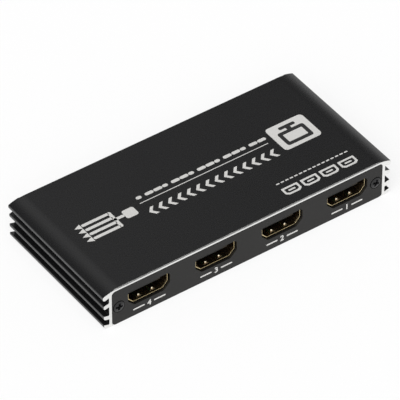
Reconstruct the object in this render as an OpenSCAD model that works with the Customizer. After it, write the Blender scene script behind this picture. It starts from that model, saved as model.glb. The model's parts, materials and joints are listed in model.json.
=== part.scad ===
// One-in four-out video splitter in a finned aluminium case.
// The finned cover is an extrusion, cut square at both ends. An end panel seats flush in each
// mouth and a flat bottom plate slides in from below the board. The front panel shows the row of
// output sockets, the rear panel the input socket, the power jack, two lamps and a setting switch.

/* [Case] */
// Width of the case over its top lips
case_w = 110.5; // [104:0.5:140]
// Depth of the case between its two cut ends
case_d = 52.5; // [48:0.5:80]
// Height of the case
case_h = 14.8; // [14:0.1:20]
// Thickness of the top wall
top_wall = 1.05; // [0.8:0.05:1.6]
// Thickness of the side walls
side_wall = 1; // [0.8:0.05:1.6]
// Chamfer along the top of each cut end
cut_chamfer = 0.3; // [0.1:0.05:0.6]

/* [Shoulders and fins] */
// Radius of the rounded shoulder along each long top edge
shoulder_r = 16; // [10:0.5:24]
// Angle that a shoulder turns through before its lip
shoulder_angle = 22; // [14:1:30]
// Thickness of a shoulder and its round lip
lip_t = 1.75; // [1.3:0.05:2.2]
// How far the lips stand out from the side walls
lip_reach = 2.25; // [1.6:0.05:4]
// How far the fins stand out from the side walls
fin_reach = 2; // [1.4:0.05:3.5]
// Thickness of a fin
fin_t = 1.5; // [1:0.05:1.8]
// Slope of the fins
fin_slope = 15; // [0:1:20]
// Height of the upper fin at its root
upper_fin_z = 9.4; // [8.5:0.1:10]
// Height of the lower fin at its root
lower_fin_z = 4.05; // [3.6:0.05:6]
// Thickness of the foot lip along each bottom edge
foot_lip_t = 1.2; // [0.9:0.05:1.5]
// Slope of the foot lip
foot_lip_slope = 19; // [10:1:25]

/* [Rails inside the case] */
// Thickness of the rails that hold the board
rail_t = 1; // [0.7:0.05:1.2]
// How far the rails reach in from the side walls
rail_reach = 4.3; // [3:0.1:4.6]
// Height of the bead that holds the bottom plate
bead_h = 1.9; // [1.7:0.05:2.1]
// How far that bead reaches in from the side walls
bead_reach = 1.7; // [1.2:0.05:2.5]
// Free play of the board and the bottom plate in their grooves
groove_play = 0.1; // [0.05:0.01:0.2]

/* [End panels and bottom plate] */
// Thickness of the end panels
panel_t = 1.5; // [1:0.1:2]
// Radius of the panels' corners
panel_corner_r = 1.25; // [0.5:0.05:2]
// Gap between a panel and the mouth that it seats in
seat_gap = 0.1; // [0.05:0.01:0.2]
// Thickness of the bottom plate
plate_t = 1.4; // [1.2:0.05:1.6]
// Thickness of the tongue along each side of the bottom plate
plate_tongue_t = 0.6; // [0.4:0.05:0.8]

/* [Panel screws] */
// Thread diameter of the screws
screw_d = 2.2; // [2:0.1:2.4]
// Length of a screw below its head
screw_l = 8; // [5:0.5:12]
// Diameter of a screw's head
head_d = 4.2; // [4:0.1:4.6]
// Height of the raised crown of a head
crown_h = 0.35; // [0.2:0.05:0.6]
// Distance of the screws from the side walls
screw_inset = 2.6; // [2.5:0.05:3]
// Wall of the screw channel round its hole
channel_wall = 1; // [0.7:0.05:1.2]

/* [Circuit board] */
// Thickness of the circuit board
board_t = 1.6; // [1:0.1:1.8]
// Height of the underside of the board
board_z = 3.5; // [3.3:0.05:3.8]
// Gap between the board and each end panel
board_end_gap = 0.5; // [0.2:0.05:0.9]
// Gap between the board and each side wall
board_side_gap = 0.8; // [0.3:0.05:0.9]

/* [Video sockets] */
// Inside width of a socket's mouth
mouth_w = 14.2; // [14:0.05:15]
// Inside height of a socket's mouth
mouth_h = 4.8; // [4.6:0.05:5.2]
// Width of the mouth's floor between its slanted corners
floor_w = 10.4; // [9.5:0.1:11]
// Height of the slanted corners
slant_h = 1.9; // [1.4:0.05:2.2]
// Thickness of the shell's sheet
sheet_t = 0.33; // [0.25:0.01:0.4]
// Inside radius of the shell's bends
bend_r = 0.45; // [0.2:0.05:0.8]
// Length of a shell from its rim to its back
shell_l = 11; // [9:0.1:12]
// Distance of the rim behind the panel's face
rim_recess = 0.85; // [0.1:0.05:1.2]
// Gap between a shell and the panel's cut-out
cutout_gap = 0.45; // [0.2:0.05:0.7]
// Distance of the outermost sockets' centres from the side walls
socket_inset = 13.9; // [13:0.1:16]
// Width of the contact tongue
tongue_w = 12; // [11.5:0.1:12.6]
// Thickness of the contact tongue
tongue_t = 1; // [0.8:0.05:1.4]
// Height of the tongue's middle above the mouth's floor
tongue_z = 2.6; // [2.2:0.05:3]
// Distance of the tongue's tip behind the rim
tongue_recess = 1.7; // [1.6:0.1:2.5]
// Length of the insulator block behind the tongue
insulator_l = 3.2; // [2:0.1:4]
// Distance between contacts along one row
contact_pitch = 1; // [0.9:0.01:1.05]
// Width of a contact
contact_w = 0.32; // [0.2:0.01:0.4]
// Thickness of a contact
contact_t = 0.15; // [0.1:0.01:0.2]

/* [Power jack] */
// Distance of the jack's axis from the side wall
jack_inset = 14; // [12:0.1:18]
// Width of the jack's body
jack_w = 8.6; // [8:0.1:10]
// Height of the jack's body
jack_h = 6.9; // [6.8:0.05:7.2]
// Length of the jack's body behind the panel
jack_l = 11; // [9:0.1:11.5]
// Diameter of the jack's barrel hole
barrel_d = 5.8; // [5.6:0.05:5.9]
// Wall of the jack's round nose
nose_wall = 0.4; // [0.3:0.05:0.5]
// Diameter of the centre pin
pin_d = 2; // [1.6:0.05:2.5]

/* [Indicator lamps] */
// Diameter of a lamp's lens
lamp_d = 2; // [1.6:0.1:3]
// Height of a lamp's axis above the board
lamp_z = 2; // [1.7:0.1:3]
// Distance of the power lamp from the jack's axis
power_lamp_step = 8.5; // [7.5:0.1:10]
// Distance of the signal lamp from the input socket's centre
signal_lamp_step = 11.5; // [10:0.1:14]

/* [Setting switch] */
// Distance of the switch's centre from the middle of the rear panel
switch_x = 11; // [8:0.1:13]
// Distance between neighbouring sliders
slider_pitch = 2.54; // [2.3:0.01:2.7]
// Height of the switch's body
switch_h = 6.2; // [5.6:0.1:6.6]
// Length of the switch's body from front to back
switch_l = 5; // [4:0.1:6]
// Distance of the switch's face behind the panel's face
switch_recess = 1.1; // [0.9:0.05:1.4]
// Height of the slot that a slider moves in
slot_h = 3.6; // [3:0.1:4]
// Width of a slider's knob
knob_w = 1.1; // [0.9:0.05:1.3]
// Height of a slider's knob
knob_h = 1.5; // [1.2:0.05:1.8]
// How far a knob stands out of the switch's face
knob_reach = 0.8; // [0.4:0.05:0.85]
// Running gap round a slider
slide_gap = 0.1; // [0.06:0.01:0.15]

/* [Rear input] */
// Distance of the input socket's centre from the side wall
input_inset = 24; // [20:0.1:28]

/* [Parts on the board] */
// Side of the square splitter chip
chip_w = 13; // [9:0.5:15]
// Height of the splitter chip
chip_h = 1.2; // [0.8:0.1:1.6]
// Thickness of the thermal pad on the chip
pad_t = 0.3; // [0.2:0.05:0.6]
// Side of the square heat sink
sink_w = 14; // [10:0.5:16]
// Thickness of the heat sink's base
sink_base_t = 1.5; // [1:0.1:2]
// Gap between the heat sink and the top wall
sink_gap = 1; // [0.5:0.1:2]
// Side of a square power coil
coil_w = 6.5; // [5:0.1:7]
// Height of a power coil
coil_h = 3; // [2:0.1:4]
// Diameter of a bulk capacitor
can_d = 6.3; // [5:0.1:6.6]
// Height of a bulk capacitor
can_h = 5.4; // [4:0.1:7]

/* [Hidden] */
$fn = 48;

// Overrun of a cut past the face that it opens
cut = 1;

// Case section, as X across and Z up
wall_in = case_w / 2 - lip_reach - side_wall;
wall_out = wall_in + side_wall;
mouth_top = case_h - top_wall;
shoulder_mid_r = shoulder_r - lip_t / 2;
shoulder_x = case_w / 2 - lip_t / 2 - shoulder_mid_r * sin(shoulder_angle);
shoulder_z = case_h - shoulder_r;
wall_top = shoulder_z + sqrt(pow(shoulder_mid_r, 2) - pow(wall_in + side_wall / 2 - shoulder_x, 2));
mouth_corner_r = panel_corner_r + seat_gap;
mouth_drop = 0.1;
inner_l = case_d - 2 * panel_t;
foot_lip_z = foot_lip_t / 2 / cos(foot_lip_slope);

// Board and the grooves that hold it
board_top = board_z + board_t;
board_half_w = wall_in - board_side_gap;
board_l = inner_l - 2 * board_end_gap;
board_depth = panel_t + board_end_gap;

// Screws, their channels and the panels
screw_x = wall_in - screw_inset;
screw_z = mouth_top / 2;
screw_hole_r = screw_d / 2 + 0.05;
channel_r = screw_hole_r + channel_wall;
head_cone_h = (head_d - screw_d) / 2;
countersink_gap = 0.2;
recess_l = 2.8;
recess_w = 0.8;
recess_d = 0.9;
recess_turn = 15;
panel_half_w = wall_in - seat_gap;
panel_top = mouth_top - seat_gap;

// Bottom plate and its tongue
plate_half_w = wall_in - bead_reach - groove_play;
tongue_reach = bead_reach * 0.55;
tongue_z0 = (plate_t - plate_tongue_t) / 2;

// Video sockets, measured in from the face of their panel
socket_floor_z = board_top + sheet_t;
socket_pitch = (wall_in - socket_inset) * 2 / 3;
output_xs = [for (i = [0 : 3]) (1.5 - i) * socket_pitch];
input_x = wall_in - input_inset;
shell_back = rim_recess + shell_l;
shell_half_w = mouth_w / 2 + sheet_t;
insulator_gap = 0.05;
contact_play = 0.05;
tail_gap = 0.3;
tail_foot_l = 0.9;
leg_l = 1.2;
leg_play = 0.2;
leg_drop = 0.6;
leg_depths = [shell_l * 0.35, shell_l * 0.82];
solder_l = shell_back + tail_gap + contact_t + tail_foot_l;

// Power jack, measured in from the rear panel's face
jack_x = -wall_in + jack_inset;
jack_z = board_top + jack_h / 2;
nose_r = barrel_d / 2 + nose_wall;
nose_gap = 0.15;
jack_front = panel_t + 0.2;
jack_back = jack_front + jack_l;
barrel_end = jack_back - 1.5;
pin_tip = 1.5;
pin_gap = 0.05;
stem_r = pin_d / 2 - 0.25;
pin_tail_l = 0.8;
leaf_t = 0.2;
leaf_w = 1.8;
leaf_rise = 0.35;

// Parts on the board, with the power parts set in from the wall beside the jack
power_inset = 27.5;
power_step = coil_w + 3;
power_xs = [for (i = [0, 1]) wall_in - power_inset + i * power_step];
coil_y = -4;
can_y = 5;
regulator_size = [6.5, 3.5, 1.7];
regulator_x = power_xs[0] - coil_w / 2 - 2 - regulator_size[0] / 2;
regulator_y = 4;
ceramic_size = [1.6, 0.8, 0.8];
ceramic_step = 2.4;
ceramic_row = chip_w / 2 + 1.4 + ceramic_size[1] / 2;
crystal_size = [3.2, 2.5, 0.8];
crystal_at = [-sink_w / 2 - 7, 3];
array_size = [3.5, 1.4, 0.9];
array_depth = solder_l + 1 + array_size[1] / 2;

// Lamps and the setting switch
power_lamp_x = jack_x + power_lamp_step;
signal_lamp_x = input_x - signal_lamp_step;
lamp_gap = 0.1;
switch_w = 4 * slider_pitch + 1.6;
switch_gap = 0.2;
switch_wall = 0.7;
knob_slot_w = knob_w + 2 * slide_gap;
heel_w = knob_w + 0.6;
heel_h = knob_h + 0.6;
heel_t = 1;
pocket_h = slot_h + 0.8;
slider_travel = slot_h - knob_h - 2 * slide_gap;
switch_mid_z = board_top + switch_h / 2;
slider_low_z = switch_mid_z - slider_travel / 2;
slider_xs = [for (i = [0 : 3]) -switch_x + (i - 1.5) * slider_pitch];

// Outward normal of the edge from a to b of an outline that runs anticlockwise
function edge_normal(a, b) = [b[1] - a[1], a[0] - b[0]] / norm(b - a);

// Straight stretches of an outline whose corners are round, as the ends of each arc
function arc_ends(centres, r) =
  let (n = len(centres))
  [for (i = [0 : n - 1]) each [
    centres[i] + r * edge_normal(centres[(i + n - 1) % n], centres[i]),
    centres[i] + r * edge_normal(centres[i], centres[(i + 1) % n])]];

// Outline with a round corner of radius r about each centre
module rounded(centres, r) {
  polygon(arc_ends(centres, r));
  for (c = centres) translate(c) circle(r);
}

// A section in X and Z, carried along Y from y
module along_y(y, length) {
  translate([0, y + length, 0]) rotate([90, 0, 0]) linear_extrude(length) children();
}

// A section in Y and Z, carried along X from x
module along_x(x, width) {
  translate([x, 0, 0]) rotate([90, 0, 90]) linear_extrude(width) children();
}

// A round bar or hole that runs inwards along Y
module rod_y(x, z, y, length, r) {
  along_y(y, length) translate([x, z]) circle(r);
}

// Both ends of the case, with Y running inwards from the panel's face
module front_end() { translate([0, -case_d / 2, 0]) children(); }
module rear_end() { rotate(180) front_end() children(); }

// The same shape on the left and the right of the case
module both_sides() {
  children();
  mirror([1, 0]) children();
}

// Case cover

// Shoulder: a thick arc that falls away from the top wall and ends in a round lip
module shoulder_section() {
  lip_a = 90 - shoulder_angle;
  far = 2 * shoulder_r;
  translate([shoulder_x, shoulder_z]) {
    intersection() {
      difference() {
        circle(shoulder_r);
        circle(shoulder_r - lip_t);
      }
      polygon([[0, 0], far * [cos(lip_a), sin(lip_a)], [far, far], [0, far]]);
    }
    translate(shoulder_mid_r * [cos(lip_a), sin(lip_a)]) circle(lip_t / 2);
  }
}

// One sloping bar with a round tip, rooted in the side wall
module fin_section(z, slope, thickness) {
  run = (fin_reach - thickness / 2) / cos(slope);
  root = side_wall / 2;
  translate([wall_out, z]) rotate(slope) {
    translate([-root, -thickness / 2]) square([root + run, thickness]);
    translate([run, 0]) circle(thickness / 2);
  }
}

// Mouth that a panel seats in, with round corners that run on a little below the case's foot
module mouth_section() {
  x = wall_in - mouth_corner_r;
  z = mouth_top - mouth_corner_r;
  foot = mouth_corner_r - mouth_drop;
  rounded([[-x, foot], [x, foot], [x, z], [-x, z]], mouth_corner_r);
}

module cover_section() {
  difference() {
    union() {
      translate([-shoulder_x, mouth_top]) square([2 * shoulder_x, top_wall]);
      both_sides() {
        shoulder_section();
        translate([wall_in, 0]) square([side_wall, wall_top]);
        for (z = [0, mouth_top - mouth_corner_r]) translate([wall_in - mouth_corner_r, z])
          square([mouth_corner_r + side_wall / 2, mouth_corner_r]);
        fin_section(upper_fin_z, -fin_slope, fin_t);
        fin_section(lower_fin_z, fin_slope, fin_t);
        intersection() {
          fin_section(foot_lip_z, foot_lip_slope, foot_lip_t);
          translate([wall_in, 0]) square([case_w, case_h]);
        }
      }
    }
    mouth_section();
  }
}

// Rails, screw channel and plate bead on one side wall, in from the wall
module rail_section() {
  groove_low = board_z - groove_play;
  groove_high = board_top + groove_play;
  difference() {
    union() {
      translate([wall_in - rail_reach, groove_low - rail_t]) square([rail_reach, rail_t]);
      translate([wall_in - rail_reach, groove_high]) square([rail_reach, rail_t]);
      translate([screw_x, screw_z]) circle(channel_r);
      translate([screw_x, groove_high]) square([screw_inset, screw_z + channel_r - groove_high]);
      translate([wall_in - bead_reach, 0]) square([bead_reach, bead_h]);
    }
    translate([screw_x, screw_z]) circle(screw_hole_r);
    translate([wall_in - rail_reach - cut, groove_low])
      square([rail_reach + cut, groove_high - groove_low]);
    translate([wall_in - bead_reach - cut, tongue_z0 - groove_play])
      square([cut + tongue_reach + groove_play, plate_tongue_t + 2 * groove_play]);
  }
}

module case_cover() {
  color("#2b2c2d") difference() {
    union() {
      along_y(-case_d / 2, case_d) cover_section();
      along_y(-inner_l / 2, inner_l) both_sides() rail_section();
    }
    for (end = [-1, 1]) translate([0, end * case_d / 2, case_h]) rotate([45, 0, 0])
      cube([case_w + cut, sqrt(2) * cut_chamfer, sqrt(2) * cut_chamfer], center = true);
  }
}

// Bottom plate: its side tongues slide in the grooves of the cover's beads
module bottom_plate() {
  plate_l = inner_l - 2 * seat_gap;
  tongue_half_w = plate_half_w + groove_play + tongue_reach;
  color("#2b2c2d") along_y(-plate_l / 2, plate_l) {
    translate([-plate_half_w, 0]) square([2 * plate_half_w, plate_t]);
    translate([-tongue_half_w, tongue_z0]) square([2 * tongue_half_w, plate_tongue_t]);
  }
}

// End panels

module panel_section() {
  x = panel_half_w - panel_corner_r;
  low = seat_gap + panel_corner_r;
  high = panel_top - panel_corner_r;
  rounded([[-x, low], [x, low], [x, high], [-x, high]], panel_corner_r);
}

// Outline of a socket, grown outwards from the inside of its mouth
module socket_section(x, grow) {
  side = mouth_w / 2 - bend_r;
  low = floor_w / 2 - bend_r / 2;
  rise = slant_h - bend_r / 2;
  translate([x, socket_floor_z])
    rounded([[-low, bend_r], [low, bend_r], [side, rise + bend_r], [side, mouth_h - bend_r],
      [-side, mouth_h - bend_r], [-side, rise + bend_r]], bend_r + grow);
}

// Plate with its two countersunk screw holes, less the cut-outs given as children
module end_panel() {
  sink_r = head_d / 2 + countersink_gap;
  difference() {
    along_y(0, panel_t) panel_section();
    along_y(-cut, panel_t + 2 * cut) children();
    for (side = [-1, 1]) translate([side * screw_x, 0, screw_z]) rotate([-90, 0, 0]) {
      translate([0, 0, -cut]) cylinder(r = screw_hole_r, h = panel_t + 2 * cut);
      cylinder(r1 = sink_r, r2 = screw_hole_r, h = sink_r - screw_hole_r);
    }
  }
}

module front_panel() {
  color("#3a3a3a") front_end() end_panel()
    for (x = output_xs) socket_section(x, sheet_t + cutout_gap);
}

module rear_panel() {
  window_w = switch_w + 2 * switch_gap;
  window_h = switch_h + 2 * switch_gap;
  color("#3a3a3a") rear_end() end_panel() {
    socket_section(input_x, sheet_t + cutout_gap);
    translate([jack_x, jack_z]) circle(nose_r + nose_gap);
    for (x = [power_lamp_x, signal_lamp_x])
      translate([x, board_top + lamp_z]) circle(lamp_d / 2 + lamp_gap);
    translate([-switch_x - window_w / 2, board_top - switch_gap]) square([window_w, window_h]);
  }
}

// Panel screws: raised countersunk heads with a cross recess

// Half of a screw's section, with the crown of its head below zero
module screw_section() {
  crown_r = (pow(head_d / 2, 2) + pow(crown_h, 2)) / (2 * crown_h);
  polygon([[0, 0], [head_d / 2, 0], [screw_d / 2, head_cone_h], [screw_d / 2, head_cone_h + screw_l],
    [0, head_cone_h + screw_l]]);
  intersection() {
    translate([0, crown_r - crown_h]) circle(crown_r);
    translate([0, -crown_h]) square([head_d / 2, crown_h]);
  }
}

module screw() {
  difference() {
    rotate_extrude() screw_section();
    for (turn = [0, 90]) rotate(turn)
      translate([-recess_l / 2, -recess_w / 2, -crown_h - cut])
        cube([recess_l, recess_w, crown_h + cut + recess_d]);
  }
}

module screw_pair() {
  color("#262626") for (side = [-1, 1])
    translate([side * screw_x, 0, screw_z]) rotate([-90, 0, 0]) rotate(recess_turn) screw();
}

module front_screws() { front_end() screw_pair(); }
module rear_screws() { rear_end() screw_pair(); }

// Circuit board

// Slots for the four solder legs of a socket's shell
module leg_slots(x) {
  for (side = [-1, 1], depth = leg_depths)
    translate([x + side * (shell_half_w - sheet_t / 2), rim_recess + depth])
      square([sheet_t + 2 * leg_play, leg_l + 2 * leg_play], center = true);
}

module main_board() {
  color("#1f5a3a") difference() {
    translate([-board_half_w, -board_l / 2, board_z]) cube([2 * board_half_w, board_l, board_t]);
    front_end() translate([0, 0, board_z - cut]) linear_extrude(board_t + 2 * cut)
      for (x = output_xs) leg_slots(x);
    rear_end() translate([0, 0, board_z - cut]) linear_extrude(board_t + 2 * cut)
      leg_slots(input_x);
  }
}

// A box that stands on the board, centred on x and y
module on_board(x, y, size, z = board_top) {
  translate([x - size[0] / 2, y - size[1] / 2, z]) cube(size);
}

module splitter_chip() { color("#1a1a1a") on_board(0, 0, [chip_w, chip_w, chip_h]); }

module thermal_pad() {
  color("#9aa7b5") on_board(0, 0, [chip_w, chip_w, pad_t], board_top + chip_h);
}

module heat_sink() {
  fins = 6;
  fin_w = 1;
  base_z = board_top + chip_h + pad_t;
  step = (sink_w - fin_w) / (fins - 1);
  color("#b8bcc0") {
    on_board(0, 0, [sink_w, sink_w, sink_base_t], base_z);
    for (i = [0 : fins - 1])
      on_board((i - (fins - 1) / 2) * step, 0, [fin_w, sink_w, mouth_top - sink_gap - base_z], base_z);
  }
}

module regulators() {
  color("#1a1a1a") for (side = [-1, 1]) on_board(regulator_x, side * regulator_y, regulator_size);
}

module power_coils() {
  color("#555555") for (x = power_xs) on_board(x, coil_y, [coil_w, coil_w, coil_h]);
}

module bulk_capacitors() {
  color("#c9ccd0") for (x = power_xs)
    translate([x, can_y, board_top]) cylinder(d = can_d, h = can_h);
}

module chip_capacitors() {
  color("#b08a5a") for (side = [-1, 1], i = [-2 : 2])
    on_board(i * ceramic_step, side * ceramic_row, ceramic_size);
}

module crystal() { color("#c9ccd0") on_board(crystal_at[0], crystal_at[1], crystal_size); }

module surge_arrays() {
  color("#1a1a1a") {
    front_end() for (x = output_xs) on_board(x, array_depth, array_size);
    rear_end() on_board(input_x, array_depth, array_size);
  }
}

// Video sockets

// Bent sheet tube whose side walls run down into four solder legs
module socket_shell(x) {
  leg_low = board_z - leg_drop;
  leg_high = socket_floor_z + slant_h + bend_r;
  color("#c9a45c") {
    along_y(rim_recess, shell_l) difference() {
      socket_section(x, sheet_t);
      socket_section(x, 0);
    }
    for (side = [-1, 1], depth = leg_depths)
      on_board(x + side * (shell_half_w - sheet_t / 2), rim_recess + depth,
        [sheet_t, leg_l, leg_high - leg_low], leg_low);
  }
}

// Insulator that closes the back of the shell, with the tongue standing out of it
module socket_tongue(x) {
  tip = rim_recess + tongue_recess;
  block = shell_back - insulator_l;
  z = socket_floor_z + tongue_z - tongue_t / 2;
  row_w = 10 * contact_pitch;
  slot_t = contact_t + contact_play;
  color("#161616") {
    difference() {
      along_y(block, insulator_l) socket_section(x, -insulator_gap);
      for (slot_z = [z + tongue_t, z - slot_t])
        translate([x - row_w / 2, block - cut, slot_z]) cube([row_w, insulator_l + 2 * cut, slot_t]);
    }
    translate([x - tongue_w / 2, tip, z]) cube([tongue_w, block - tip, tongue_t]);
  }
}

// One contact: a strip along the tongue, a leg behind the insulator and a solder foot
module contact_section(z) {
  tip = rim_recess + tongue_recess + 0.6;
  leg = shell_back + tail_gap;
  polygon([[tip, z], [leg, z], [leg, board_top], [leg + contact_t + tail_foot_l, board_top],
    [leg + contact_t + tail_foot_l, board_top + contact_t], [leg + contact_t, board_top + contact_t],
    [leg + contact_t, z + contact_t], [tip, z + contact_t]]);
}

module socket_contacts(x) {
  top_z = socket_floor_z + tongue_z + tongue_t / 2;
  low_z = socket_floor_z + tongue_z - tongue_t / 2 - contact_t;
  color("#d8b45a") {
    for (i = [0 : 9]) along_x(x + (i - 4.5) * contact_pitch - contact_w / 2, contact_w)
      contact_section(top_z);
    for (i = [0 : 8]) along_x(x + (i - 4) * contact_pitch - contact_w / 2, contact_w)
      contact_section(low_z);
  }
}

// Power jack

module dc_jack_body() {
  leaf_slot_z = jack_z - barrel_d / 2 - leaf_t;
  color("#161616") rear_end() difference() {
    union() {
      on_board(jack_x, (jack_front + jack_back) / 2, [jack_w, jack_l, jack_h]);
      rod_y(jack_x, jack_z, nose_gap, jack_front - nose_gap + cut, nose_r);
    }
    rod_y(jack_x, jack_z, nose_gap - cut, barrel_end - nose_gap + cut, barrel_d / 2);
    rod_y(jack_x, jack_z, barrel_end - cut, jack_back - barrel_end + 2 * cut, stem_r + pin_gap);
    translate([jack_x - leaf_w / 2 - pin_gap, jack_front, leaf_slot_z])
      cube([leaf_w + 2 * pin_gap, jack_l + cut, barrel_d / 2]);
  }
}

// Pin that seats on the end of the barrel, with a thinner stem through the back wall
module dc_jack_pin() {
  round_r = pin_d / 2;
  color("#d9dcdf") rear_end() {
    rod_y(jack_x, jack_z, pin_tip + round_r, barrel_end - pin_tip - round_r, round_r);
    rod_y(jack_x, jack_z, barrel_end - cut, jack_back + pin_tail_l - barrel_end + cut, stem_r);
    translate([jack_x, pin_tip + round_r, jack_z]) sphere(round_r);
  }
}

// Leaf that presses on the outside of a plug's sleeve
module dc_jack_spring() {
  z = jack_z - barrel_d / 2 - leaf_t;
  crest = jack_front + jack_l * 0.3;
  flat = jack_front + jack_l * 0.55;
  start = jack_front + pin_gap;
  end = jack_back + pin_tail_l;
  lift = leaf_rise + leaf_t;
  color("#d9dcdf") rear_end() along_x(jack_x - leaf_w / 2, leaf_w)
    polygon([[start, z], [crest, z + leaf_rise], [flat, z], [end, z], [end, z + leaf_t],
      [flat, z + leaf_t], [crest, z + lift], [start, z + leaf_t]]);
}

// Indicator lamps: a round lens on a small base
module lamp(x) {
  r = lamp_d / 2;
  base = [lamp_d + 0.6, 1.6, lamp_z + r + 0.3];
  base_depth = panel_t + 0.5;
  rod_y(x, board_top + lamp_z, r, base_depth - r + cut, r);
  translate([x, r, board_top + lamp_z]) sphere(r);
  on_board(x, base_depth + base[1] / 2, base);
}

module power_lamp() { color("#d84a3a") rear_end() lamp(power_lamp_x); }
module signal_lamp() { color("#4a7fd8") rear_end() lamp(signal_lamp_x); }

// Setting switch

module dip_switch_body() {
  pocket_depth = switch_recess + switch_wall;
  pocket_w = heel_w + 2 * slide_gap;
  color("#1c3f7a") rear_end() difference() {
    on_board(-switch_x, switch_recess + switch_l / 2, [switch_w, switch_l, switch_h]);
    for (x = slider_xs) {
      translate([x - knob_slot_w / 2, switch_recess - cut, switch_mid_z - slot_h / 2])
        cube([knob_slot_w, switch_wall + 2 * cut, slot_h]);
      translate([x - pocket_w / 2, pocket_depth, switch_mid_z - pocket_h / 2])
        cube([pocket_w, heel_t + 2 * slide_gap, pocket_h]);
    }
  }
}

// Slider: a knob in the slot and a wider heel behind the switch's face
module dip_slider(i) {
  x = slider_xs[i];
  heel_depth = switch_recess + switch_wall + slide_gap;
  knob_tip = switch_recess - knob_reach;
  color("#f0f0ea") rear_end() {
    translate([x - knob_w / 2, knob_tip, slider_low_z - knob_h / 2])
      cube([knob_w, heel_depth - knob_tip + heel_t / 2, knob_h]);
    translate([x - heel_w / 2, heel_depth, slider_low_z - heel_h / 2]) cube([heel_w, heel_t, heel_h]);
  }
}

case_cover();
bottom_plate();
front_panel();
rear_panel();
front_screws();
rear_screws();
main_board();
splitter_chip();
thermal_pad();
heat_sink();
regulators();
power_coils();
bulk_capacitors();
chip_capacitors();
crystal();
surge_arrays();
for (i = [0 : 3]) {
  front_end() socket_shell(output_xs[i]);
  front_end() socket_tongue(output_xs[i]);
  front_end() socket_contacts(output_xs[i]);
}
rear_end() socket_shell(input_x);  // input_shell
rear_end() socket_tongue(input_x);  // input_tongue
rear_end() socket_contacts(input_x);  // input_contacts
dc_jack_body();
dc_jack_pin();
dc_jack_spring();
power_lamp();
signal_lamp();
dip_switch_body();
for (i = [0 : 3]) dip_slider(i);
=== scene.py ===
"""Looks of a one-in four-out video splitter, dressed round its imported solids.

Sizes are in millimetres in the part's own frame: X runs along the row of output sockets, the front
panel is at the low end of Y, and Z goes up from the surface that the case stands on.
"""

from __future__ import annotations

import json
import logging
import math
from dataclasses import dataclass, field
from enum import Enum, IntEnum

import bpy
import numpy as np
from mathutils import Matrix, Vector

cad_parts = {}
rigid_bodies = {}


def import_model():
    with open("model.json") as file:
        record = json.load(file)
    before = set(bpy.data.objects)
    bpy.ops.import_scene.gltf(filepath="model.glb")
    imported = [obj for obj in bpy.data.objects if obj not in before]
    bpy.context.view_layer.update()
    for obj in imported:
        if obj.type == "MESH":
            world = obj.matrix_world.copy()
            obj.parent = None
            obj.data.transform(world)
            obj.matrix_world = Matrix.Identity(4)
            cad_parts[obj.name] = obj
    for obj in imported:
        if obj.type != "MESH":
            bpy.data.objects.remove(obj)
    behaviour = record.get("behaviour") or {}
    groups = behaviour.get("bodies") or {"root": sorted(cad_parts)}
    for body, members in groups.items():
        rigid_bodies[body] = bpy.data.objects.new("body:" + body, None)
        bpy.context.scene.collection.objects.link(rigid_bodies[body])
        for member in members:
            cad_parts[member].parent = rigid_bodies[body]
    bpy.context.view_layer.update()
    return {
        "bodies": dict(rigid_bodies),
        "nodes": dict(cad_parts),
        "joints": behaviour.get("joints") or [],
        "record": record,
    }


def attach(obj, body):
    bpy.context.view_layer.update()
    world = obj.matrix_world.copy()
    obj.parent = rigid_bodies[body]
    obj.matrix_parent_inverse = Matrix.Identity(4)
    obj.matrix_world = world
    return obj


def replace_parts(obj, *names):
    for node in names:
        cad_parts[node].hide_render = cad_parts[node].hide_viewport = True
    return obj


LOG = logging.getLogger("splitter")
MM = 0.001
CASE_BODY = "case"
CASE_WIDTH = 110.5
CASE_DEPTH = 52.5
CASE_HEIGHT = 14.8
OUTPUT_X = (38.1, 12.7, -12.7, -38.1)
INPUT_X = 28.0
SCREW_X = 49.4
SCREW_Z = 6.875
UP = np.array([0.0, 0.0, 1.0])
FORWARD = np.array([0.0, -1.0, 0.0])
ROUNDING = 1e-6
SMOOTH_UNDER_DEG = 32.0
# The noises of a finish: their finer layers, and the spans that drive tone and roughness.
GRAIN_LAYERS = 3.0
PATCH_LAYERS = 2.0
TONE_SPAN = (0.12, 0.4)
GRAIN_SPAN = (0.3, 0.7)


class Lay(Enum):
    """Which way a grain runs, as how many times longer it is along X, Y and Z."""

    EVEN = (1.0, 1.0, 1.0)
    ALONG_X = (14.0, 1.0, 1.0)
    ALONG_Y = (1.0, 14.0, 1.0)


class End(Enum):
    """The two ends of the case, as the turn about Z that brings the front to them."""

    FRONT = 1.0
    REAR = -1.0


class SheetMark(IntEnum):
    """Which finish of the list a face of a socket shell has inside the mouth."""

    # The first finish is painted shade: a darker copy of the gold for the inside of the mouth.
    DULLED = 0
    # The crest's finish is a paler gold: partly rubbed bright by plugs, partly a painted highlight.
    CREST = 2
    PLATED = 3


def linear(hex_colour: str) -> tuple[float, float, float, float]:
    """Turns an sRGB hex value into a linear colour.

    Args:
        hex_colour: six hex digits after a hash sign.

    Returns:
        Red, green, blue and alpha, as the shader sockets take them.
    """
    part = np.array([int(hex_colour[i : i + 2], 16) for i in (1, 3, 5)]) / 255.0
    value = np.where(part <= 0.04045, part / 12.92, ((part + 0.055) / 1.055) ** 2.4)
    return (*value.tolist(), 1.0)


def add_node(
    tree: bpy.types.NodeTree,
    kind: str,
    inputs: dict | None = None,
    **settings: object,
) -> bpy.types.Node:
    """Adds one node with its settings, values and links.

    Args:
        tree: the tree that the node goes into.
        kind: the node's type name.
        inputs: a value, or an output socket to link, for each input by name or number.
        settings: the node's own properties.

    Returns:
        The new node.
    """
    node = tree.nodes.new(kind)
    for key, value in settings.items():
        setattr(node, key, value)
    for key, value in (inputs or {}).items():
        if isinstance(value, bpy.types.NodeSocket):
            tree.links.new(value, node.inputs[key])
        else:
            node.inputs[key].default_value = value
    return node


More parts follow.
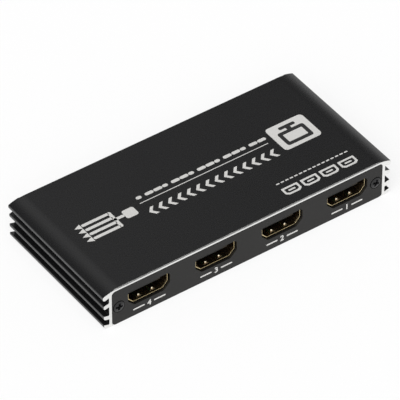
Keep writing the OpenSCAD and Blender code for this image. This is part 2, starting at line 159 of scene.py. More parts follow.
@dataclass(frozen=True)
class Finish:
    """One real surface: what it is made of, how it was worked and what the eye gets from it.

    The grain is a noise of that size which swings the colour between two tones, swings the
    roughness, and lifts the surface by the given height. A second, wide noise lays soft uneven
    patches over it, as handling and uneven plating leave.
    """

    name: str
    light: str
    dark: str
    metallic: float
    roughness: float
    swing: float
    grain_mm: float
    height_mm: float
    lay: Lay = Lay.EVEN
    patch_mm: float = 18.0
    ior: float = 1.5
    specular: float = 0.5
    transmission: float = 0.0

    def noise(
        self, tree: bpy.types.NodeTree, size_mm: float, lay: Lay, detail: float
    ) -> bpy.types.NodeSocket:
        """A noise in the piece's own coordinates.

        Args:
            tree: the material's tree.
            size_mm: the size of one grain.
            lay: which way the grains are drawn out.
            detail: how many finer layers lie over it.

        Returns:
            The output socket, from 0 to 1.
        """
        place = add_node(tree, "ShaderNodeTexCoord")
        scale = tuple(1.0 / (size_mm * MM * longer) for longer in lay.value)
        spread = add_node(
            tree, "ShaderNodeMapping", {"Vector": place.outputs["Object"], "Scale": scale}
        )
        grain = add_node(
            tree,
            "ShaderNodeTexNoise",
            {"Vector": spread.outputs["Vector"], "Scale": 1.0, "Detail": detail},
        )
        return grain.outputs["Fac"]

    def material(self) -> bpy.types.Material:
        """The shader for this surface, made once and then shared."""
        known = bpy.data.materials.get(self.name)
        if known:
            return known
        made = bpy.data.materials.new(self.name)
        made.use_nodes = True
        tree = made.node_tree
        tree.nodes.clear()
        grain = self.noise(tree, self.grain_mm, self.lay, GRAIN_LAYERS)
        patch = self.noise(tree, self.patch_mm, Lay.EVEN, PATCH_LAYERS)
        both = add_node(tree, "ShaderNodeMath", {0: grain, 1: patch}, operation="MULTIPLY")
        tone = add_node(
            tree,
            "ShaderNodeMapRange",
            {"Value": both.outputs[0], "From Min": TONE_SPAN[0], "From Max": TONE_SPAN[1]},
        )
        colour = add_node(
            tree,
            "ShaderNodeMix",
            {"Factor": tone.outputs["Result"], 6: linear(self.dark), 7: linear(self.light)},
            data_type="RGBA",
        )
        rough = add_node(
            tree,
            "ShaderNodeMapRange",
            {
                "Value": grain,
                "From Min": GRAIN_SPAN[0],
                "From Max": GRAIN_SPAN[1],
                "To Min": self.roughness - self.swing,
                "To Max": self.roughness + self.swing,
            },
        )
        bump = add_node(
            tree,
            "ShaderNodeBump",
            {"Height": grain, "Distance": self.height_mm * MM, "Strength": 1.0},
        )
        shader = add_node(
            tree,
            "ShaderNodeBsdfPrincipled",
            {
                "Base Color": colour.outputs[2],
                "Roughness": rough.outputs["Result"],
                "Normal": bump.outputs["Normal"],
                "Metallic": self.metallic,
                "Specular IOR Level": self.specular,
                "Transmission Weight": self.transmission,
            },
        )
        if not self.metallic:
            shader.inputs["IOR"].default_value = self.ior
        add_node(tree, "ShaderNodeOutputMaterial", {"Surface": shader.outputs["BSDF"]})
        return made


# Extruded aluminium, bead blasted and dyed black in the anodising bath: an even, dry sheen. The
# blast pits are under 0.1 mm, so they are drawn coarser, to show at all.
ANODISED = Finish("black_anodised_aluminium", "#151516", "#131314", 0, 0.28, 0.03, 0.3, 0.0014)
# The same metal where the saw went through after anodising: bare, bright, with fine saw lines.
BARE_CUT = Finish(
    "bare_sawn_aluminium", "#f1f1ef", "#e5e5e3", 1, 0.3, 0.06, 0.16, 0.0005, Lay.ALONG_X
)
# Rolled sheet, anodised black: smoother than the blasted case, with a faint rolling grain.
PANEL = Finish(
    "black_anodised_sheet", "#1c1b1a", "#181716", 0, 0.32, 0.04, 0.35, 0.002, Lay.ALONG_X,
    specular=0.23,
)
# Steel with black oxide: dark and a little oily.
BLACK_OXIDE = Finish(
    "black_oxide_steel", "#1d1d1e", "#141415", 0, 0.32, 0.08, 0.2, 0.004, specular=0.36
)
# Thin gold plating on bent phosphor bronze: warm, fairly sharp, drawn along the sheet.
GOLD = Finish("gold_plated_sheet", "#dac9a0", "#c5b184", 1, 0.22, 0.06, 0.25, 0.001, Lay.ALONG_Y)
# The same gold sheet, made darker for the inside of the mouth: painted shade, where little light
# gets in.
GOLD_PAINTED_SHADE = Finish(
    "gold_sheet_painted_shade", "#9a876a", "#836f55", 1, 0.3, 0.06, 0.25, 0.001, Lay.ALONG_Y
)
# The springs' crests: a paler gold, partly rubbed bright by plugs and partly a painted highlight.
RUBBED_GOLD_AND_HIGHLIGHT = Finish("rubbed_gold_painted_highlight", "#e6dec6", "#dad1b6", 1, 0.3, 0.05, 0.15, 0.001)
# Gold-plated contact strip: yellow, bright and a little brushed.
CONTACT = Finish("gold_plated_contact", "#e8c067", "#cfa24c", 1, 0.22, 0.05, 0.15, 0.001)
# Glass-filled nylon from a mould: black, satin, with a fine eroded texture.
NYLON = Finish("moulded_black_nylon", "#171717", "#101010", 0, 0.46, 0.08, 0.2, 0.004)
# Nickel over brass: cool grey and bright.
NICKEL = Finish("nickel_plate", "#d6d3cb", "#bdbab2", 1, 0.22, 0.05, 0.3, 0.001)
# Screen ink: an off-white film with a slightly uneven, matt top.
WHITE_INK = Finish("white_screen_ink", "#d6d5d2", "#cecdca", 0, 0.58, 0.06, 0.25, 0.003)
# The same ink in black.
BLACK_INK = Finish("black_screen_ink", "#232323", "#1b1b1b", 0, 0.55, 0.06, 0.25, 0.003)
# Tinted epoxy of indicator lamps, unlit: clear, glossy and deep in colour.
RED_LENS = Finish(
    "red_tinted_epoxy", "#b5382c", "#9c2b22", 0, 0.12, 0.03, 0.6, 0.001, transmission=0.35
)
BLUE_LENS = Finish(
    "blue_tinted_epoxy", "#5f86c8", "#4a70b4", 0, 0.12, 0.03, 0.6, 0.001, transmission=0.35
)
# Nylon moulded in blue: satin, with a fine eroded texture.
SWITCH_BLUE = Finish("moulded_blue_nylon", "#2a4f8e", "#234479", 0, 0.42, 0.07, 0.25, 0.004)
# Acetal moulded in white: smooth and a little waxy.
SLIDER_WHITE = Finish("moulded_white_acetal", "#ecebe4", "#e0dfd7", 0, 0.38, 0.06, 0.25, 0.003)
# Solder mask on glass laminate: deep green, semi-gloss, uneven over the copper.
SOLDER_MASK = Finish("green_solder_mask", "#174a31", "#123c27", 0, 0.3, 0.06, 0.8, 0.006)
# Epoxy moulded round chips: near black, dry and finely eroded.
CHIP_RESIN = Finish("moulded_epoxy", "#232324", "#1a1a1b", 0, 0.55, 0.08, 0.15, 0.004)
# Soft silicone sheet: pale and matt.
SILICONE = Finish("silicone_pad", "#9aa7b5", "#8b98a6", 0, 0.7, 0.05, 0.4, 0.006)
# Extruded aluminium left bare: grey, with lines drawn along it.
EXTRUDED = Finish(
    "bare_extruded_aluminium", "#c6c8ca", "#b4b6b8", 1, 0.34, 0.08, 0.2, 0.004, Lay.ALONG_Y
)
# Pressed ferrite powder: dark grey, dull and grainy.
FERRITE = Finish("pressed_ferrite", "#4c4c4e", "#3c3c3e", 0, 0.6, 0.08, 0.3, 0.008)
# Drawn aluminium: pale and bright, with an even sheen.
DRAWN_CAN = Finish("drawn_aluminium_can", "#cfd1d3", "#bfc1c4", 1, 0.26, 0.06, 0.2, 0.002)
# Fired ceramic: tan, with a slight gloss.
CERAMIC = Finish("fired_ceramic", "#b39166", "#9a7a52", 0, 0.4, 0.08, 0.15, 0.003)
# The finish of each of the record's material slots.
SLOT_FINISHES = {
    "black_anodised_case": ANODISED,
    "black_panel": PANEL,
    "black_screw": BLACK_OXIDE,
    "board_laminate": SOLDER_MASK,
    "chip_resin": CHIP_RESIN,
    "thermal_pad": SILICONE,
    "bare_aluminium": EXTRUDED,
    "ferrite": FERRITE,
    "can_metal": DRAWN_CAN,
    "ceramic": CERAMIC,
    "gold_plate": GOLD,
    "contact_gold": CONTACT,
    "socket_insulator": NYLON,
    "nickel_plate": NICKEL,
    "red_lens": RED_LENS,
    "blue_lens": BLUE_LENS,
    "switch_body": SWITCH_BLUE,
    "slider_plastic": SLIDER_WHITE,
}


def rounded_outline(corners: np.ndarray, radii: np.ndarray, steps: int = 10) -> np.ndarray:
    """A closed outline whose corners are arcs.

    At a corner c, with unit vectors a and b to its neighbours and the angle phi between them, the
    arc's centre lies r / sin(phi / 2) from c along the bisector. The arc starts at the tangent
    point c + a r / tan(phi / 2) and turns through pi - phi, to the left where the corner is convex.

    Args:
        corners: the corner points, (n, 2), anticlockwise.
        radii: each corner's radius, (n,).
        steps: the number of chords in an arc.

    Returns:
        The outline's points, (n * (steps + 1), 2).
    """
    corner = np.asarray(corners, float)
    r = np.asarray(radii, float)
    a = np.roll(corner, 1, axis=0) - corner
    b = np.roll(corner, -1, axis=0) - corner
    a /= np.linalg.norm(a, axis=1, keepdims=True)
    b /= np.linalg.norm(b, axis=1, keepdims=True)
    phi = np.arccos(np.clip((a * b).sum(axis=1), -1.0, 1.0))
    middle = (a + b) / np.linalg.norm(a + b, axis=1, keepdims=True)
    centre = corner + middle * (r / np.sin(phi / 2))[:, None]
    start = corner + a * (r / np.tan(phi / 2))[:, None] - centre
    turn = -np.sign(a[:, 0] * b[:, 1] - a[:, 1] * b[:, 0]) * (np.pi - phi)
    share = np.linspace(0.0, 1.0, steps + 1)
    angle = np.arctan2(start[:, 1], start[:, 0])[:, None] + turn[:, None] * share
    around = np.stack([np.cos(angle), np.sin(angle)], axis=-1)
    return (centre[:, None] + r[:, None, None] * around).reshape(-1, 2)


def rounded_box(width: float, height: float, radius: float, steps: int = 8) -> np.ndarray:
    """A rectangle with round corners about the origin, as an anticlockwise outline."""
    x, z = width / 2, height / 2
    corners = np.array([[-x, -z], [x, -z], [x, z], [-x, z]])
    return rounded_outline(corners, np.full(4, radius), steps)


def circle(radius: float, count: int = 48) -> np.ndarray:
    """Points round a circle about the origin, anticlockwise."""
    angle = np.linspace(0.0, 2 * np.pi, count, endpoint=False)
    return radius * np.stack([np.cos(angle), np.sin(angle)], axis=-1)


def grid_quads(rows: int, columns: int, wrap: bool) -> np.ndarray:
    """The quads of a grid of points stored row by row.

    Args:
        rows: the number of rows.
        columns: the number of points in a row.
        wrap: whether each row closes on itself.

    Returns:
        Four point numbers for each quad, (n, 4).
    """
    number = np.arange(rows * columns).reshape(rows, columns)
    if wrap:
        number = np.concatenate([number, number[:, :1]], axis=1)
    corners = [number[:-1, :-1], number[:-1, 1:], number[1:, 1:], number[1:, :-1]]
    return np.stack(corners, axis=-1).reshape(-1, 4)


def at_end(points: np.ndarray, end: End) -> np.ndarray:
    """Carries points from a panel's own frame, with Y running inwards from its face, to an end.

    Args:
        points: points as X across, Y inwards and Z up, (n, 3).
        end: the end of the case; the rear is the front turned half round about Z.

    Returns:
        The points in the part's frame, (n, 3).
    """
    moved = points - np.array([0.0, CASE_DEPTH / 2, 0.0])
    return moved * np.array([end.value, end.value, 1.0])


def laid(flat: np.ndarray, z: float) -> np.ndarray:
    """Lays an outline drawn as X and Y at a height."""
    return np.stack([flat[:, 0], flat[:, 1], np.full(len(flat), z)], axis=-1)


def stood(flat: np.ndarray, y: float) -> np.ndarray:
    """Stands an outline drawn as X and Z at a depth."""
    return np.stack([flat[:, 0], np.full(len(flat), y), flat[:, 1]], axis=-1)


@dataclass
class Surface:
    """The points and faces of one piece, gathered patch by patch."""

    name: str
    points: list[np.ndarray] = field(default_factory=list)
    faces: list[list[int]] = field(default_factory=list)
    marks: list[int] = field(default_factory=list)
    count: int = 0

    def add(self, points: np.ndarray, faces: np.ndarray, mark: int | np.ndarray = 0) -> None:
        """Adds a patch.

        Args:
            points: the patch's points in millimetres, (n, 3).
            faces: the point numbers of its faces, all with the same number of corners, (m, k).
            mark: which of the piece's finishes the faces take, one for all or one for each.
        """
        self.points.append(points)
        self.faces += (np.asarray(faces) + self.count).tolist()
        self.marks += np.broadcast_to(mark, len(faces)).tolist()
        self.count += len(points)

    def add_tube(self, rings: np.ndarray) -> None:
        """Adds a stack of closed rings, with a flat face over the first and the last.

        Args:
            rings: the rings' points, (rings, points, 3), anticlockwise as seen from the last.
        """
        rows, columns = rings.shape[:2]
        first = self.count + np.arange(columns)
        self.add(rings.reshape(-1, 3), grid_quads(rows, columns, True))
        self.faces += [first[::-1].tolist(), (first + (rows - 1) * columns).tolist()]
        self.marks += [0, 0]

    def add_ring(self, outer: np.ndarray, inner: np.ndarray, shift: np.ndarray) -> None:
        """Adds a solid ring between two outlines of the same number of points.

        Args:
            outer: the outer outline, anticlockwise as seen from where it is shifted to, (n, 3).
            inner: the outline of the hole, the same way round, (n, 3).
            shift: the ring's thickness, as a vector.
        """
        rings = np.stack([outer, outer + shift, inner + shift, inner])
        rows, columns = rings.shape[:2]
        quads = grid_quads(rows + 1, columns, True) % (rows * columns)
        self.add(rings.reshape(-1, 3), quads)

    def build(
        self, finishes: list[Finish], body: str, slot: str | None, sharp_deg: float = 30.0
    ) -> bpy.types.Object:
        """Makes the piece's object, dressed and riding on its body.

        Args:
            finishes: the finishes that the marks count through.
            body: the body that the piece moves with.
            slot: the record's material slot, if it has one; not used.
            sharp_deg: edges that turn further than this stay sharp.

        Returns:
            The object, at the origin with its place in its mesh.
        """
        mesh = bpy.data.meshes.new(self.name)
        mesh.from_pydata((np.concatenate(self.points) * MM).tolist(), [], self.faces)
        for finish in finishes:
            mesh.materials.append(finish.material())
        mesh.polygons.foreach_set("material_index", np.array(self.marks, np.int32))
        mesh.polygons.foreach_set("use_smooth", np.ones(len(self.faces), bool))
        mesh.update()
        mesh.set_sharp_from_angle(angle=math.radians(sharp_deg))
        piece = bpy.data.objects.new(self.name, mesh)
        bpy.context.scene.collection.objects.link(piece)
        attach(piece, body)
        LOG.info("%s: %d points, %d faces", self.name, self.count, len(self.faces))
        return piece


@dataclass
class FinnedCover:
    """The extruded cover: rounded shoulders, finned side walls and bright sawn ends."""

    top_wall: float = 0.96
    side_wall: float = 1.0
    shoulder_r: float = 16.0
    shoulder_deg: float = 22.0
    lip_t: float = 1.75
    lip_reach: float = 2.25
    lip_tip_r: tuple[float, float] = (0.75, 0.45)
    fin_reach: float = 2.0
    fin_tip_r: tuple[tuple[float, float], ...] = ((0.6, 0.2), (0.85, 0.15), (0.55, 0.4))
    root_r: float = 0.22
    mouth_r: float = 1.35
    mouth_low: float = 0.6
    toe_x: float = 51.4
    toe_r: float = 0.08
    cut_chamfer: float = 0.3
    cut_strip: float = 0.4
    burr: float = 0.05
    arc_steps: int = 16
    panel_t: float = 1.5
    screw_at: tuple[float, float] = (SCREW_X, SCREW_Z)
    channel_r: tuple[float, float] = (2.15, 1.15)
    rail_sunk: float = 0.3
    rail_r: float = 0.1
    # Each fin's height at the wall, its slope in degrees and its thickness.
    fins: tuple[tuple[float, float, float], ...] = (
        (0.635, 19.0, 1.2),
        (4.25, 15.0, 1.5),
        (9.4, -15.0, 1.5),
    )
    # Each rail's reach from the wall, its lower face and its upper face.
    rails: tuple[tuple[float, float, float], ...] = (
        (4.3, 2.4, 3.4),
        (4.3, 5.2, 6.2),
        (1.45, 5.2, 9.0),
        (2.6, 8.0, 9.02),
        (1.7, 0.02, 0.3),
        (1.7, 1.1, 1.9),
        (0.665, 0.02, 1.9),
    )

    @property
    def wall_in(self) -> float:
        """Half the width of the mouth."""
        return self.wall_out - self.side_wall

    @property
    def wall_out(self) -> float:
        """Distance of a side wall's outer face from the middle."""
        return CASE_WIDTH / 2 - self.lip_reach

    def fin(self, z: float, slope: float, thickness: float) -> np.ndarray:
        """Root, tip, tip and root of one sloping fin, from its lower face to its upper.

        A face of the fin lies half its thickness over cos s from the middle line, measured upright,
        and rises by tan s for each millimetre from the wall. The tip is cut upright at its reach.
        """
        s = math.radians(slope)
        x = np.array([0.0, self.fin_reach, self.fin_reach, 0.0])
        half = thickness / 2 / math.cos(s) * np.array([-1.0, -1.0, 1.0, 1.0])
        return np.stack([self.wall_out + x, z + x * math.tan(s) + half], axis=-1)

    def lip(self) -> np.ndarray:
        """Root, tip and tip of the lip under the shoulder, and the shoulder's own corner.

        The shoulder is an arc about a centre that lies its radius under the top. It turns down by
        its angle, runs on straight and is cut upright at half the case's width. The underside is
        the same arc, smaller by the lip's thickness, and meets the wall at its root.
        """
        turn = math.radians(self.shoulder_deg)
        half = self.lip_t / 2
        x = CASE_WIDTH / 2 - half - (self.shoulder_r - half) * math.sin(turn)
        z = CASE_HEIGHT - self.shoulder_r
        run = CASE_WIDTH / 2 - x - self.shoulder_r * math.sin(turn)
        tip = z + self.shoulder_r * math.cos(turn) - run * math.tan(turn)
        under_r = self.shoulder_r - self.lip_t
        under = z + math.sqrt(under_r**2 - (self.wall_out - x) ** 2)
        return np.array(
            [
                [self.wall_out, under],
                [CASE_WIDTH / 2, tip - self.lip_t / math.cos(turn)],
                [CASE_WIDTH / 2, tip],
                [x + self.shoulder_r * math.tan(turn / 2), CASE_HEIGHT],
            ]
        )

    def side(self) -> tuple[np.ndarray, np.ndarray]:
        """Corners and radii of the right-hand side, from the toe under the mouth to the top."""
        corners = [np.array([[self.toe_x, 0.0]])]
        radii = [self.toe_r]
        for bar, tip_r in zip(self.fins, self.fin_tip_r):
            corners.append(self.fin(*bar))
            radii += [self.root_r, *tip_r, self.root_r]
        corners.append(self.lip())
        radii += [self.root_r, *self.lip_tip_r, self.shoulder_r]
        return np.concatenate(corners), np.array(radii)

    def outline(self) -> np.ndarray:
        """The whole section as X and Z: one side, its mirror image, then the mouth."""
        corners, radii = self.side()
        x, top = self.wall_in, CASE_HEIGHT - self.top_wall
        mouth = np.array([[-x, self.mouth_low], [-x, top], [x, top], [x, self.mouth_low]])
        every = np.concatenate([corners, corners[::-1] * [-1.0, 1.0], mouth])
        turns = np.concatenate([radii, radii[::-1], np.full(len(mouth), self.mouth_r)])
        return rounded_outline(every, turns, self.arc_steps)

    def rings(self, outline: np.ndarray) -> np.ndarray:
        """The section carried along Y, with a broken edge and a chamfered top at both cuts.

        At a depth t behind a cut, the outline is drawn in by the burr where t is 0, and no point
        stands above height - chamfer + t. A short strip follows the chamfer, so that the soft
        shading where it runs out stays off the long faces.
        """
        step = np.roll(outline, -1, axis=0) - np.roll(outline, 1, axis=0)
        normal = np.stack([step[:, 1], -step[:, 0]], axis=-1)
        normal /= np.linalg.norm(normal, axis=1, keepdims=True)
        depth = np.array([0.0, self.burr, self.cut_chamfer, self.cut_chamfer + self.cut_strip])
        drawn_in = np.array([self.burr, 0.0, 0.0, 0.0])
        section = outline[None] - normal[None] * drawn_in[:, None, None]
        ceiling = CASE_HEIGHT - self.cut_chamfer + depth
        section[..., 1] = np.minimum(section[..., 1], ceiling[:, None])
        y = np.broadcast_to((depth - CASE_DEPTH / 2)[:, None], section.shape[:2])
        front = np.stack([section[..., 0], y, section[..., 1]], axis=-1)
        return np.concatenate([front, front[::-1] * [1.0, -1.0, 1.0]])

    def add_rails(self, surface: Surface) -> None:
        """Adds the board rails, plate beads, webs and screw channels, from panel to panel."""
        reach = CASE_DEPTH / 2 - self.panel_t
        for side in (-1.0, 1.0):
            for length, low, high in self.rails:
                box = rounded_box(length + self.rail_sunk, high - low, self.rail_r, 3)
                inwards = (length - self.rail_sunk) / 2
                box += [side * (self.wall_in - inwards), (low + high) / 2]
                surface.add_tube(np.stack([stood(box, reach), stood(box, -reach)]))
            outer, inner = (circle(r, 32) for r in self.channel_r)
            outer[:, 1] = np.maximum(outer[:, 1], self.rails[1][1] - self.screw_at[1])
            place = np.array([side * self.screw_at[0], self.screw_at[1]])
            surface.add_ring(
                stood(outer + place, reach), stood(inner + place, reach), FORWARD * 2 * reach
            )

    def build(self) -> bpy.types.Object:
        """Makes the cover; the sawn ends, their broken edges and the chamfer are bare metal."""
        outline = self.outline()
        rings = self.rings(outline)
        surface = Surface("finned_cover")
        surface.add_tube(rings[::-1])
        rows, columns = rings.shape[:2]
        marks = np.zeros((rows - 1, columns), int)
        marks[[0, -1]] = 1
        over = outline[:, 1] > CASE_HEIGHT - self.cut_chamfer + self.burr
        marks[[1, -2]] = over & np.roll(over, -1)
        surface.marks = [*marks.ravel().tolist(), 1, 1]
        self.add_rails(surface)
        piece = surface.build([ANODISED, BARE_CUT], CASE_BODY, "black_anodised_case")
        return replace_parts(piece, "case_cover")


@dataclass
class VideoSocket:
    """A bent sheet shell with the leaf springs that are punched out of its floor and ceiling."""

    name: str
    node: str
    x: float
    end: End
    mouth_w: float = 14.45
    mouth_h: float = 4.8
    floor_w: float = 10.9
    slant_h: float = 1.9
    sheet_t: float = 0.3
    bend_r: float = 0.3
    length: float = 11.0
    rim: float = 0.75
    floor_z: float = 5.43
    leaf_x: float = 2.57
    leaf_w: float = 1.7
    slot_w: float = 0.18
    leaf_tip: float = 0.92
    leaf_root: float = 5.8
    leaf_cuts: int = 17
    crest_at: float = 1.6
    crest_h: float = 0.2
    # The power that shapes a leaf's rise, and the share of it that rolls back at the tip.
    bow_power: float = 1.3
    roll_back: float = 0.8
    dimple_h: float = 0.46
    dimple_r: float = 0.5
    dimple_cuts: int = 13
    # The share of a dimple that is paler, partly rubbed by plugs and partly a painted highlight,
    # and how far in the gold is kept before the painted shade starts.
    rubbed: float = 0.65
    plated: float = 0.15
    edge_r: float = 0.1
    edge_deg: float = 50.0
    sharp_deg: float = 40.0
    leg_depths: tuple[float, float] = (3.85, 9.02)
    leg_z: tuple[float, ...] = (2.9, 4.3, 5.6, 7.3)
    leg_w: float = 1.2

    def leaf_lines(self, reach: float) -> np.ndarray:
        """X of the lines along the floor or ceiling, with each leaf and its slots on lines."""
        half = self.leaf_w / 2
        leaf = np.linspace(-half, half, self.leaf_cuts)
        one = np.concatenate([[-half - self.slot_w], leaf, [half + self.slot_w]])
        return np.concatenate([[-reach], one - self.leaf_x, one + self.leaf_x, [reach]])

    def bend(self, x: float, z: float, start: float, turn: float) -> np.ndarray:
        """Points inside one bend of the sheet's middle, about a centre, without its two ends."""
        angle = np.radians(start + turn * np.linspace(0.0, 1.0, 8)[1:-1])
        r = self.bend_r + self.sheet_t / 2
        return np.stack([x + r * np.cos(angle), z + r * np.sin(angle)], axis=-1)

    def outline(self) -> tuple[np.ndarray, int]:
        """The middle of the sheet as X and Z from the mouth's floor, anticlockwise.

        Returns:
            The outline, and how many points of it lie along the floor and along the ceiling.
        """
        grow = self.sheet_t / 2
        side = self.mouth_w / 2 - self.bend_r
        low = self.floor_w / 2 - self.bend_r / 2
        rise = self.slant_h + self.bend_r / 2
        top = self.mouth_h - self.bend_r
        slant = math.degrees(math.atan2(rise - self.bend_r, side - low))
        floor = self.leaf_lines(low)
        ceiling = self.leaf_lines(side)[::-1]
        half = [
            self.bend(low, self.bend_r, -90.0, slant),
            self.bend(side, rise, slant - 90.0, 90.0 - slant),
            self.bend(side, top, 0.0, 90.0),
        ]
        mirrored = [part[::-1] * [-1.0, 1.0] for part in half[::-1]]
        parts = [
            np.stack([floor, np.full(len(floor), -grow)], axis=-1),
            *half,
            np.stack([ceiling, np.full(len(ceiling), self.mouth_h + grow)], axis=-1),
            *mirrored,
        ]
        return np.concatenate(parts), len(floor)

    def lift(self, x: np.ndarray, depth: np.ndarray) -> np.ndarray:
        """How far a leaf is bent into the mouth.

        It leaves the sheet at its root, rises as a quarter sine to a crest near the tip and rolls
        back from there as a parabola. On the crest stands a round dimple, a cosine of the
        distance from its middle, which touches the plug.
        """
        back = np.clip((self.leaf_root - depth) / (self.leaf_root - self.crest_at), 0.0, 1.0)
        front = np.clip((self.crest_at - depth) / (self.crest_at - self.leaf_tip), 0.0, 1.0)
        bow = self.crest_h * np.sin(np.pi / 2 * back**self.bow_power)
        bow *= 1.0 - self.roll_back * front**2
        off = np.hypot(np.abs(x) - self.leaf_x, depth - self.crest_at) / self.dimple_r
        return bow + self.dimple_h * np.cos(np.pi / 2 * np.minimum(off, 1.0))

    def depth_lines(self) -> np.ndarray:
        """Depths of the lines round the sheet, close together over the dimples."""
        dimple = self.crest_at + self.dimple_r * np.linspace(-1.0, 1.0, self.dimple_cuts)
        return np.concatenate(
            [
                [0.0, self.plated, self.leaf_tip - self.slot_w, self.leaf_tip],
                dimple,
                np.linspace(dimple[-1], self.leaf_root, 9)[1:],
                np.linspace(self.leaf_root, self.length, 4)[1:],
            ]
        )

    def build(self) -> bpy.types.Object:
        """Makes the shell: the outline carried inwards, its slots left open, its leaves bent."""
        outline, along = self.outline()
        depth = self.depth_lines()
        way = np.zeros(len(outline))
        way[:along] = 1.0
        way[len(outline) // 2 : len(outline) // 2 + along] = -1.0
        x, y = np.meshgrid(outline[:, 0], depth)
        half, slack = self.leaf_w / 2, self.slot_w / 10
        on_leaf = np.abs(np.abs(x) - self.leaf_x) < half + slack
        on_leaf &= (y > self.leaf_tip - slack) & (y < self.leaf_root)
        z = outline[:, 1] + np.where(on_leaf, self.lift(x, y) * way, 0.0)
        quads = grid_quads(len(depth), len(outline), True)
        middle_x, middle_y = (part.ravel()[quads].mean(axis=1) for part in (x, y))
        off = np.abs(np.abs(middle_x) - self.leaf_x)
        ways = way[quads % len(outline)]
        flat = (ways.min(axis=1) == ways.max(axis=1)) & (ways[:, 0] != 0.0)
        slot = flat & (middle_y > self.leaf_tip - self.slot_w) & (middle_y < self.leaf_root)
        slot &= off < half + self.slot_w
        slot &= (off > half) | (middle_y < self.leaf_tip)
        # A painted highlight on each dimple's crest, which plugs also rub bright.
        crest = flat & (np.hypot(off, middle_y - self.crest_at) < self.rubbed * self.dimple_r)
        surface = Surface(self.name)
        points = np.stack([x, y, z], axis=-1).reshape(-1, 3)
        place = np.array([self.x, self.rim, self.floor_z])
        # A face's mark is its finish inside the mouth. The sheet's outside and its cut edges take
        # the next finish of the list. Past the front band, the inside takes a darker gold as
        # painted shade; the dimples' crests take a paler gold, partly rubbed and partly a painted
        # highlight.
        # Painted shade: the inside beyond the front band takes the darker gold.
        painted_shade_band = np.where(middle_y < self.plated, SheetMark.PLATED, SheetMark.DULLED)
        marks = np.where(crest, SheetMark.CREST, painted_shade_band)[~slot]
        surface.add(at_end(points + place, self.end), quads[~slot], marks)
        self.add_legs(surface)
        finishes = [GOLD_PAINTED_SHADE, GOLD, RUBBED_GOLD_AND_HIGHLIGHT, GOLD, GOLD]
        piece = surface.build(finishes, CASE_BODY, "gold_plate", self.sharp_deg)
        sheet = piece.modifiers.new("sheet", "SOLIDIFY")
        sheet.thickness = self.sheet_t * MM
        sheet.offset = 0.0
        sheet.use_even_offset = True
        sheet.material_offset = 1
        sheet.material_offset_rim = 1
        edge = piece.modifiers.new("stamped_edge", "BEVEL")
        edge.width = self.edge_r * MM
        edge.segments = 2
        edge.limit_method = "ANGLE"
        edge.angle_limit = math.radians(self.edge_deg)
        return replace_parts(piece, self.node)

    def add_legs(self, surface: Surface) -> None:
        """Adds the four solder legs that run down from the side walls through the board."""
        side = (self.mouth_w + self.sheet_t) / 2
        width = np.linspace(-self.leg_w / 2, self.leg_w / 2, 3)
        for x in (-side, side):
            for depth in self.leg_depths:
                across, up = np.meshgrid(self.rim + depth + width, self.leg_z)
                points = np.stack([np.full(across.shape, self.x + x), across, up], axis=-1)
                points = at_end(points.reshape(-1, 3), self.end)
                surface.add(points, grid_quads(*across.shape, False), SheetMark.PLATED)


